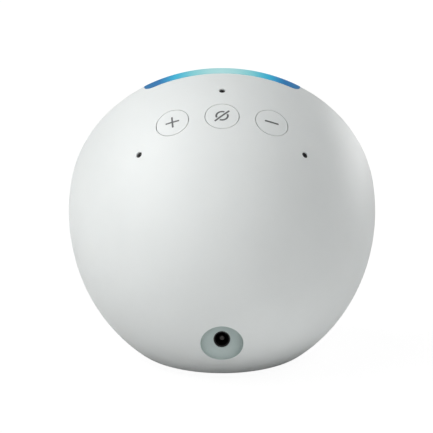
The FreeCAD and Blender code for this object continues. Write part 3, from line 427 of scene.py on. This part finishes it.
def knit(name):
    """Weft-knitted yarn: rows of V-shaped stitches in the cloth's own flat coordinates."""
    n = Nodes(name)
    flat = n.node("ShaderNodeUVMap", uv_map="flat").outputs["UV"]
    parts = n.node("ShaderNodeSeparateXYZ")
    n.link(flat, parts.inputs[0])
    column = n.math("DIVIDE", parts.outputs["X"], WALE / MM)
    row = n.math("DIVIDE", parts.outputs["Y"], COURSE / MM)
    in_column = n.math("FRACT", n.math("ADD", column, 100.0))
    # 0 in the middle of a wale, 0.5 between two
    side = n.math("ABSOLUTE", n.math("SUBTRACT", in_column, 0.5))
    slant = n.math("SUBTRACT", row, n.math("MULTIPLY", side, 1.5))
    in_row = n.math("FRACT", n.math("ADD", slant, 100.0))
    leg = n.math("SINE", n.math("MULTIPLY", in_row, math.pi))
    ridge = n.math("SINE", n.math("MULTIPLY", n.math("FRACT", n.math("MULTIPLY", side, 2.0)), math.pi))
    yarn = n.math("POWER", n.math("MULTIPLY", n.math("POWER", leg, 0.6), n.math("POWER", ridge, 0.5)), 0.8)
    strands = n.node("ShaderNodeTexNoise")
    strands.inputs["Scale"].default_value = 9.0
    strands.inputs["Detail"].default_value = 3.0
    n.link(flat, strands.inputs["Vector"])
    fuzz = strands.outputs["Fac"]
    height = n.math("ADD", yarn, n.math("MULTIPLY", fuzz, 0.25))
    # Darker where the yarn lies low between the stitches: painted shade in the knit's hollows
    shades = ((0.10, (0.36, 0.37, 0.37)), (0.55, (0.68, 0.69, 0.685)), (1.0, (0.82, 0.83, 0.82)))
    shade = n.ramp(height, shades)
    n.set(colour=shade, roughness=0.88, normal=n.bump(height, 0.22 * MM))
    n.shader.inputs["Sheen Weight"].default_value = 0.25
    n.shader.inputs["Sheen Roughness"].default_value = 0.4
    return n.material


def foam(name, colour):
    """Closed-cell foam or silicone pad."""
    n = Nodes(name)
    cells = n.node("ShaderNodeTexVoronoi")
    cells.inputs["Scale"].default_value = 1 / (0.5 * MM)
    n.link(n.place(), cells.inputs["Vector"])
    dark, light = tints(colour, 0.2)
    # Darker in the middle of each cell, where the surface lies low: painted shade in the cells
    n.set(colour=n.ramp(cells.outputs["Distance"], ((0.1, dark), (0.7, light))), roughness=0.9)
    n.set(normal=n.bump(cells.outputs["Distance"], 0.06 * MM))
    return n.material


def wound(name, colour, pitch):
    """Enamelled wire wound side by side along the driver's axis."""
    n = Nodes(name)
    along = n.node("ShaderNodeVectorMath", operation="DOT_PRODUCT")
    along.inputs[1].default_value = OUT
    n.link(n.place(), along.inputs[0])
    turns = n.math("SINE", n.math("MULTIPLY", along.outputs["Value"], 2 * math.pi / pitch))
    height = n.math("MULTIPLY_ADD", turns, 0.5, 0.5)
    dark, light = tints(colour, 0.3)
    # Darker between the turns, where the wire lies low: painted shade
    n.set(colour=n.ramp(height, ((0.0, dark), (0.6, light))), roughness=0.3, metallic=1.0)
    n.set(normal=n.bump(height, 0.05 * MM))
    return n.material


def flat_cable(name):
    """Polyimide with copper tracks showing through along its length."""
    n = Nodes(name)
    parts = n.node("ShaderNodeSeparateXYZ")
    n.link(n.place(), parts.inputs[0])
    lines = n.math("SINE", n.math("MULTIPLY", parts.outputs["X"], 2 * math.pi / (0.8 * MM)))
    amber_and_copper = ((0.4, (0.36, 0.14, 0.015)), (0.6, (0.60, 0.27, 0.04)))
    shade = n.ramp(n.math("MULTIPLY_ADD", lines, 0.5, 0.5), amber_and_copper)
    n.set(colour=shade, roughness=0.28)
    n.shader.inputs["Coat Weight"].default_value = 0.4
    return n.material


def make_materials():
    white = shell_white("dome_plastic")
    board = circuit_board("solder_mask")
    steel = turned_metal("zinc_plate", (0.50, 0.50, 0.49))
    chip = moulded("epoxy_black", (0.018, 0.018, 0.019), 0.45)
    gold = turned_metal("gold_plate", (0.78, 0.60, 0.28), 0.25)
    return {
        "shell_white": white,
        "button_white": white,
        "foot_rubber": moulded("foot_rubber", (0.045, 0.045, 0.047), 0.72, 0.4 * MM, 0.03 * MM, 0.15),
        "tape": foam("tape_foam", (0.40, 0.40, 0.38)),
        "frame_grey": moulded("frame_plastic", (0.10, 0.10, 0.105), 0.55),
        "light_bar": light_guide("lit_guide"),
        "reflector_white": moulded("reflector_plastic", (0.86, 0.86, 0.86), 0.4),
        "circuit_board": board,
        "led_lens": moulded("led_resin", (0.80, 0.78, 0.60), 0.15),
        "baffle_black": moulded("baffle_plastic", (0.020, 0.020, 0.021), 0.5, 0.5 * MM, 0.03 * MM, 0.1),
        "cup_black": moulded("cup_plastic", (0.024, 0.024, 0.026), 0.45, 0.5 * MM, 0.03 * MM, 0.1),
        "seal_foam": foam("seal_foam", (0.030, 0.030, 0.031)),
        "screw_steel": steel,
        "basket_steel": moulded("basket_paint", (0.018, 0.018, 0.019), 0.38, 0.3 * MM, 0.02 * MM, 0.1),
        "plate_steel": steel,
        "magnet_grey": sintered("ferrite", (0.055, 0.055, 0.058)),
        "cone_paper": sintered("pressed_pulp", (0.030, 0.030, 0.030)),
        "surround_rubber": moulded("surround_rubber", (0.014, 0.014, 0.014), 0.6, 0.6 * MM, 0.02 * MM, 0.1),
        "spider_cloth": woven("spider_weave", (0.42, 0.24, 0.07), 0.5 * MM),
        "former_foil": turned_metal("foil", (0.80, 0.80, 0.80), 0.25),
        "copper": wound("copper_winding", (0.62, 0.25, 0.10), 0.2 * MM),
        "terminal_brown": woven("phenolic", (0.14, 0.060, 0.025), 0.4 * MM),
        "wire_insulation": moulded("red_vinyl", (0.42, 0.012, 0.010), 0.35),
        "chip_black": chip,
        "pad_grey": foam("silicone_pad", (0.22, 0.28, 0.36)),
        "aluminium": turned_metal("extruded_aluminium", (0.78, 0.78, 0.79), 0.34),
        "shield_tin": turned_metal("tinned_steel", (0.66, 0.65, 0.62), 0.22),
        "capacitor_can": turned_metal("capacitor_can", (0.72, 0.72, 0.73), 0.28),
        "inductor_grey": sintered("pressed_powder", (0.075, 0.075, 0.075)),
        "antenna_metal": gold,
        "connector_ivory": moulded("nylon_ivory", (0.72, 0.65, 0.48), 0.42),
        "socket_black": moulded("socket_plastic", (0.006, 0.006, 0.006), 0.55),
        "contact_metal": turned_metal("nickel_plate", (0.07, 0.066, 0.062), 0.55),
        "switch_black": chip,
        "plunger_white": moulded("plunger_plastic", (0.70, 0.67, 0.58), 0.4),
        "guide_grey": moulded("guide_plastic", (0.055, 0.055, 0.058), 0.5),
        "microphone_can": gold,
        "seal_rubber": moulded("seal_rubber", (0.020, 0.020, 0.020), 0.65),
        "cable_amber": flat_cable("polyimide"),
    }


def dress_cad(materials):
    slot_of = {part["node"]: part["material_slot"] for part in frame["record"]["subparts"]}
    for node, shown in frame["nodes"].items():
        slot = slot_of[node]
        if slot in materials:
            for place in shown.material_slots:
                place.material = materials[slot]


# ---------------------------------------------------------------- the grille's cloth


def cloth_profile():
    """(radius, depth, flat radius) from the middle of the cloth out to its tucked edge."""
    flat_end = CLOTH_RADIUS - CLOTH_ROUND
    points = [(flat_end * i / 22, CLOTH_FRONT, flat_end * i / 22) for i in range(23)]
    for i in range(1, 9):
        turn = math.pi / 2 * i / 8
        points.append(
            (
                flat_end + CLOTH_ROUND * math.sin(turn),
                CLOTH_FRONT + CLOTH_ROUND * (1 - math.cos(turn)),
                flat_end + CLOTH_ROUND * turn,
            )
        )
    arc_end = flat_end + CLOTH_ROUND * math.pi / 2
    straight = CLOTH_SKIRT - CLOTH_FRONT - CLOTH_ROUND
    for i in range(1, 5):
        points.append((CLOTH_RADIUS, CLOTH_SKIRT - straight * (1 - i / 4), arc_end + straight * i / 4))
    return points


def grille_cloth(material):
    """The knitted cover: one sheet drawn over the frame, its edge tucked in between frame and dome."""
    profile = cloth_profile()
    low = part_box("grille_cloth")[0].z + CLOTH_CLEARANCE

    def shape(bm):
        flat = bm.loops.layers.uv.new("flat")
        places = {}
        rings = []
        for radius, depth, flat_radius in profile:
            ring = []
            for spoke in range(CLOTH_SPOKES if radius else 1):
                angle = 2 * math.pi * spoke / CLOTH_SPOKES
                point = from_mouth(radius * math.cos(angle), radius * math.sin(angle), depth)
                point.z = max(point.z, low)
                vertex = bm.verts.new(point)
                places[vertex] = flat_radius * math.cos(angle) / MM, flat_radius * math.sin(angle) / MM
                ring.append(vertex)
            rings.append(ring)
        faces = []
        for inner, outer in zip(rings, rings[1:]):
            for spoke in range(CLOTH_SPOKES):
                after = (spoke + 1) % CLOTH_SPOKES
                if len(inner) == 1:
                    faces.append(bm.faces.new((inner[0], outer[spoke], outer[after])))
                else:
                    faces.append(bm.faces.new((inner[spoke], outer[spoke], outer[after], inner[after])))
        for face in faces:
            for loop in face.loops:
                loop[flat].uv = places[loop.vert]

    cloth = new_piece("grille_knit", shape, "housing", material)
    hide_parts("grille_cloth")


# ---------------------------------------------------------------- the signs on the buttons


def button_centre(body):
    """(angle, depth) of a button on the dome, from where its CAD cap is."""
    _, _, _, out = on_dome(0.0, MIDDLE_BUTTON_DEPTH)
    x, y, depth = to_mouth(drop_on_dome(middle(f"{body}_plunger"), out))
    return math.atan2(x, y), depth


def drop_on_dome(point, out):
    """The point moved along out until it lies on the dome."""
    for _ in range(12):
        x, y, depth = to_mouth(point)
        share = (depth - RIM_DEPTH) / DOME_DEPTH
        point = point + out * (MAX_RADIUS * math.sqrt(1 - share * share) - math.hypot(x, y))
    return point


def strip_quads(bm, centre, left, right):
    """A ribbon between two rows of (round, back) points."""
    point, round_it, back, out = centre
    rows = []
    for side in (left, right):
        loose = [point + round_it * across + back * along for across, along in side]
        rows.append([bm.verts.new(drop_on_dome(p, out) + out * INK_LIFT) for p in loose])
    for i in range(len(left) - 1):
        bm.faces.new((rows[0][i], rows[0][i + 1], rows[1][i + 1], rows[1][i]))


def stroke(bm, centre, start, end, width):
    """A straight ribbon from start to end, cut into short lengths so that it follows the dome."""
    along = Vector(end) - Vector(start)
    side = Vector((-along.y, along.x)).normalized() * width / 2
    steps = 12
    middle_line = [Vector(start) + along * i / steps for i in range(steps + 1)]
    left = [tuple(p + side) for p in middle_line]
    right = [tuple(p - side) for p in middle_line]
    strip_quads(bm, centre, left, right)


def arc(bm, centre, radius, width, start, end):
    """A curved ribbon round the centre, from one angle to another."""
    steps = 28
    angles = [start + (end - start) * i / steps for i in range(steps + 1)]
    edges = (radius + width / 2, radius - width / 2)
    rows = [[(r * math.cos(a), r * math.sin(a)) for a in angles] for r in edges]
    strip_quads(bm, centre, *rows)


def signs(material):
    """Plus, minus and a crossed circle, printed on the caps."""

    def plus(bm, centre):
        stroke(bm, centre, (-SIGN_HALF, 0), (SIGN_HALF, 0), STROKE)
        for end in (-1, 1):
            stroke(bm, centre, (0, end * STROKE / 2), (0, end * SIGN_HALF), STROKE)

    def minus(bm, centre):
        stroke(bm, centre, (-SIGN_HALF, 0), (SIGN_HALF, 0), STROKE * MINUS_BOLDER)

    def crossed(bm, centre):
        rise = SIGN_HALF * SLASH_SLOPE
        stroke(bm, centre, (-SIGN_HALF, -rise), (SIGN_HALF, rise), STROKE)
        gap = math.asin((STROKE * CIRCLE_GAP) / CIRCLE_RADIUS)
        for turn in (math.pi / 4, math.pi * 5 / 4):
            arc(bm, centre, CIRCLE_RADIUS, STROKE, turn + gap, turn + math.pi - gap)

    for body, draw in (("volume_up", plus), ("mic_mute", crossed), ("volume_down", minus)):
        centre = on_dome(*button_centre(body))
        sign = new_piece(f"{body}_sign", lambda bm: draw(bm, centre), body, material)


def ink_grey():
    n = Nodes("sign_ink")
    speck = n.noise(0.15 * MM, 3)
    n.set(colour=n.ramp(speck, ((0.3, (0.105, 0.108, 0.110)), (0.7, (0.135, 0.138, 0.140)))), roughness=0.5)
    n.set(normal=n.bump(speck, 0.006 * MM))
    return n.material


# ---------------------------------------------------------------- floor, lights, camera


def by_distance(n, away, levels):
    """A level that changes with distance, given as (distance, level) in order."""
    furthest = levels[-1][0]
    stops = [(distance / furthest, (level,) * 3) for distance, level in levels]
    return n.ramp(n.math("DIVIDE", away, furthest), stops)


def floor():
    """The floor: plain and nearly white to the camera, uneven and partly glowing to every other ray, with
    painted shade round the base.
    """
    n = Nodes("floor_white")
    tone = n.ramp(n.noise(60 * MM, 3), ((0.3, (0.08, 0.08, 0.08)), (0.7, (0.09, 0.09, 0.09))))
    n.set(colour=tone, roughness=0.9)
    n.shader.inputs["Specular IOR Level"].default_value = 0.1
    n.shader.inputs["Emission Color"].default_value = (1, 1, 1, 1)
    n.shader.inputs["Emission Strength"].default_value = 0.95
    bounce = n.node("ShaderNodeBsdfPrincipled")
    bounce.inputs["Roughness"].default_value = 1.0
    bounce.inputs["Specular IOR Level"].default_value = 0.0
    away = n.node("ShaderNodeVectorMath", operation="LENGTH")
    n.link(n.place(), away.inputs[0])
    # Darker near the base: painted shade round the speaker
    n.link(by_distance(n, away.outputs["Value"], FLOOR_BOUNCE), bounce.inputs["Base Color"])
    parts = n.node("ShaderNodeSeparateXYZ")
    n.link(n.place(), parts.inputs[0])
    beside = n.math("DIVIDE", n.math("SUBTRACT", GLOW_FADE, parts.outputs["X"]), 2 * GLOW_FADE)
    side = n.ramp(beside, ((0.0, (0, 0, 0)), (1.0, (1, 1, 1))))
    glow = n.math("MULTIPLY", by_distance(n, away.outputs["Value"], FLOOR_GLOW), side)
    n.link(glow, bounce.inputs["Emission Strength"])
    bounce.inputs["Emission Color"].default_value = (1, 1, 1, 1)
    seen = n.node("ShaderNodeMixShader")
    n.link(n.node("ShaderNodeLightPath").outputs["Is Camera Ray"], seen.inputs["Fac"])
    n.link(bounce.outputs[0], seen.inputs[1])
    n.link(n.shader.outputs[0], seen.inputs[2])
    n.link(seen.outputs[0], n.tree.nodes["Material Output"].inputs["Surface"])

    def sheet(bm):
        bmesh.ops.create_grid(bm, x_segments=FLOOR_SQUARES, y_segments=FLOOR_SQUARES, size=FLOOR_HALF)

    piece = new_piece("studio_floor", sheet, None, n.material)
    piece.location.z = cad_box[0][2] - FLOOR_DROP


def sun(name, azimuth, height, share, spread_degrees, colour=(1, 1, 1)):
    """A broad soft light. Azimuth 0 is behind the speaker and 90 is at its +X side, in degrees."""
    around, up = math.radians(azimuth), math.radians(height)
    source = Vector((math.sin(around) * math.cos(up), math.cos(around) * math.cos(up), math.sin(up)))
    data = bpy.data.lights.new(name, "SUN")
    data.energy = share * math.pi
    data.angle = math.radians(spread_degrees)
    data.color = colour
    lamp = bpy.data.objects.new(name, data)
    lamp.rotation_euler = source.to_track_quat("Z", "Y").to_euler()
    bpy.context.scene.collection.objects.link(lamp)


def world(strength):
    """Even light from all round, and a white backdrop."""
    made = bpy.data.worlds.new("studio")
    made.use_nodes = True
    tree = made.node_tree
    light = tree.nodes["Background"]
    light.inputs["Color"].default_value = (0.97, 0.985, 1.0, 1)
    light.inputs["Strength"].default_value = strength
    backdrop = tree.nodes.new("ShaderNodeBackground")
    backdrop.inputs["Color"].default_value = (1, 1, 1, 1)
    seen = tree.nodes.new("ShaderNodeMixShader")
    tree.links.new(tree.nodes.new("ShaderNodeLightPath").outputs["Is Camera Ray"], seen.inputs["Fac"])
    tree.links.new(light.outputs[0], seen.inputs[1])
    tree.links.new(backdrop.outputs[0], seen.inputs[2])
    tree.links.new(seen.outputs[0], tree.nodes["World Output"].inputs["Surface"])
    bpy.context.scene.world = made


def lights():
    world(0.12)
    sun("key", 80, 36, 0.45, 50, (1.0, 0.998, 0.992))
    sun("overhead", 88, 59, 0.385, 60)
    sun("fill", -8, 18, 0.275, 60)
    sun("low_fill", -80, 4, 0.12, 40)
    sun("rim", -138, 1, 0.48, 40)


def camera():
    """Behind the speaker and a little above it, with a long lens."""
    target = Vector((0, -0.2, 45.4)) * MM
    distance = 474.0 * MM
    elevation = math.radians(11.87)
    place = target + distance * Vector((0, math.cos(elevation), math.sin(elevation)))
    aim = target + Vector((1.71, 0, -0.09)) * MM
    data = bpy.data.cameras.new("camera")
    data.sensor_width = 36.0
    data.lens = 126.5
    data.clip_start = 0.01
    data.clip_end = 30.0
    made = bpy.data.objects.new("camera", data)
    made.location = place
    made.rotation_euler = (aim - place).to_track_quat("-Z", "Y").to_euler()
    bpy.context.scene.collection.objects.link(made)
    bpy.context.scene.camera = made


camera()
bpy.context.scene.view_settings.view_transform = "Standard"
floor()
lights()
dress_cad(make_materials())
grille_cloth(knit("cover_knit"))
signs(ink_grey())
